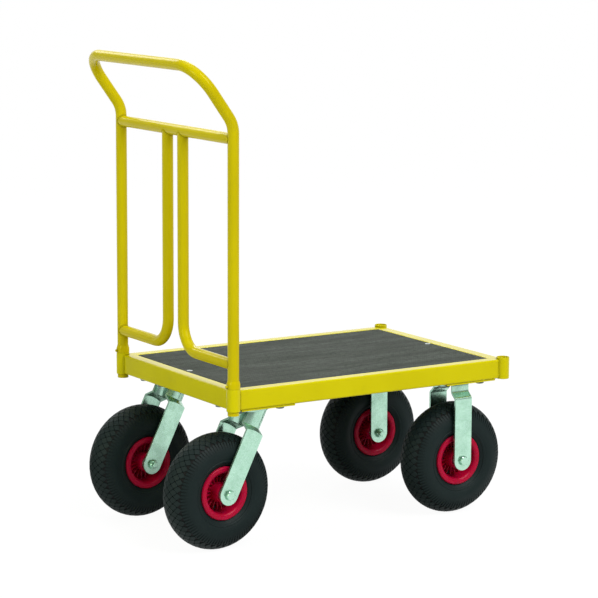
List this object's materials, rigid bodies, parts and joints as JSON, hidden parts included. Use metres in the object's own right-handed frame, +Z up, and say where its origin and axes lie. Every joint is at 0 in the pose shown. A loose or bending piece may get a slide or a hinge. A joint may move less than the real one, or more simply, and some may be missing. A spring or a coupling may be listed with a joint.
{
  "type": "hand cart",
  "caption": "Flat platform hand cart with a plug-in tube push handle, corner sockets, a plywood deck, swivel casters at the handle end and air-tyred wheels.",
  "frame": {"origin": "on the floor, under the centre of the cart's overall box with the casters trailing towards the handle end", "axes": "+Z up; +X along the deck from the handle end to the front; +Y to the left of the person who pushes"},
  "size_m": [0.892, 0.53, 1.0725],
  "materials": {
    "yellow_paint": "greenish yellow powder coat, semi-gloss",
    "deck_film": "dark film-faced plywood, fine anti-slip texture",
    "tyre_rubber": "matte black rubber, moulded block tread",
    "tube_rubber": "black butyl rubber",
    "rim_red": "crimson moulded plastic, satin",
    "zinc_plate": "zinc plated strip steel, pale green passivated",
    "bearing_steel": "ground steel",
    "fastener_zinc": "zinc plated steel"
  },
  "bodies": {
    "chassis": {"side_rail_left": "yellow_paint", "side_rail_right": "yellow_paint", "end_rail_handle": "yellow_paint", "end_rail_front": "yellow_paint", "socket_handle_left": "yellow_paint", "socket_handle_right": "yellow_paint", "socket_front_left": "yellow_paint", "socket_front_right": "yellow_paint", "deck_ledges": "yellow_paint", "deck_board": "deck_film", "deck_screws": "fastener_zinc", "cross_plate_handle": "yellow_paint", "cross_plate_front": "yellow_paint", "caster_bolts": "fastener_zinc", "caster_nuts": "fastener_zinc", "swivel_plate_left": "zinc_plate", "king_bolt_left": "fastener_zinc", "swivel_plate_right": "zinc_plate", "king_bolt_right": "fastener_zinc", "fixed_fork_left": "zinc_plate", "axle_bolt_front_left": "fastener_zinc", "axle_sleeve_front_left": "bearing_steel", "fixed_fork_right": "zinc_plate", "axle_bolt_front_right": "fastener_zinc", "axle_sleeve_front_right": "bearing_steel"},
    "push_handle": {"handle_hoop": "yellow_paint", "handle_crossbar": "yellow_paint", "inner_bar_left": "yellow_paint", "inner_bar_right": "yellow_paint", "stop_collars": "yellow_paint", "set_screws": "fastener_zinc"},
    "swivel_left": {"race_ring_left": "bearing_steel", "swivel_fork_left": "zinc_plate", "axle_bolt_handle_left": "fastener_zinc", "axle_sleeve_handle_left": "bearing_steel"},
    "swivel_right": {"race_ring_right": "bearing_steel", "swivel_fork_right": "zinc_plate", "axle_bolt_handle_right": "fastener_zinc", "axle_sleeve_handle_right": "bearing_steel"},
    "wheel_handle_left": {"tyre_handle_left": "tyre_rubber", "inner_tube_handle_left": "tube_rubber", "rim_outer_handle_left": "rim_red", "rim_inner_handle_left": "rim_red", "bearings_handle_left": "bearing_steel"},
    "wheel_handle_right": {"tyre_handle_right": "tyre_rubber", "inner_tube_handle_right": "tube_rubber", "rim_outer_handle_right": "rim_red", "rim_inner_handle_right": "rim_red", "bearings_handle_right": "bearing_steel"},
    "wheel_front_left": {"tyre_front_left": "tyre_rubber", "inner_tube_front_left": "tube_rubber", "rim_outer_front_left": "rim_red", "rim_inner_front_left": "rim_red", "bearings_front_left": "bearing_steel"},
    "wheel_front_right": {"tyre_front_right": "tyre_rubber", "inner_tube_front_right": "tube_rubber", "rim_outer_front_right": "rim_red", "rim_inner_front_right": "rim_red", "bearings_front_right": "bearing_steel"}
  },
  "joints": [
    {"name": "handle_lift", "type": "slide", "parent": "chassis", "child": "push_handle", "axis": [0, 0, 1], "range_m": [0, 0.055]},
    {"name": "swivel_left_turn", "type": "hinge", "parent": "chassis", "child": "swivel_left", "pos_m": [-0.226, 0.172, 0.308], "axis": [0, 0, 1], "continuous": true},
    {"name": "wheel_handle_left_spin", "type": "hinge", "parent": "swivel_left", "child": "wheel_handle_left", "pos_m": [-0.31578, 0.16572, 0.13], "axis": [-0.0698, 0.9976, 0], "continuous": true},
    {"name": "wheel_front_left_spin", "type": "hinge", "parent": "chassis", "child": "wheel_front_left", "pos_m": [0.316, 0.172, 0.13], "axis": [0, 1, 0], "continuous": true},
    {"name": "swivel_right_turn", "type": "hinge", "parent": "chassis", "child": "swivel_right", "pos_m": [-0.226, -0.172, 0.308], "axis": [0, 0, 1], "continuous": true},
    {"name": "wheel_handle_right_spin", "type": "hinge", "parent": "swivel_right", "child": "wheel_handle_right", "pos_m": [-0.31578, -0.17828, 0.13], "axis": [-0.0698, 0.9976, 0], "continuous": true},
    {"name": "wheel_front_right_spin", "type": "hinge", "parent": "chassis", "child": "wheel_front_right", "pos_m": [0.316, -0.172, 0.13], "axis": [0, 1, 0], "continuous": true}
  ]
}
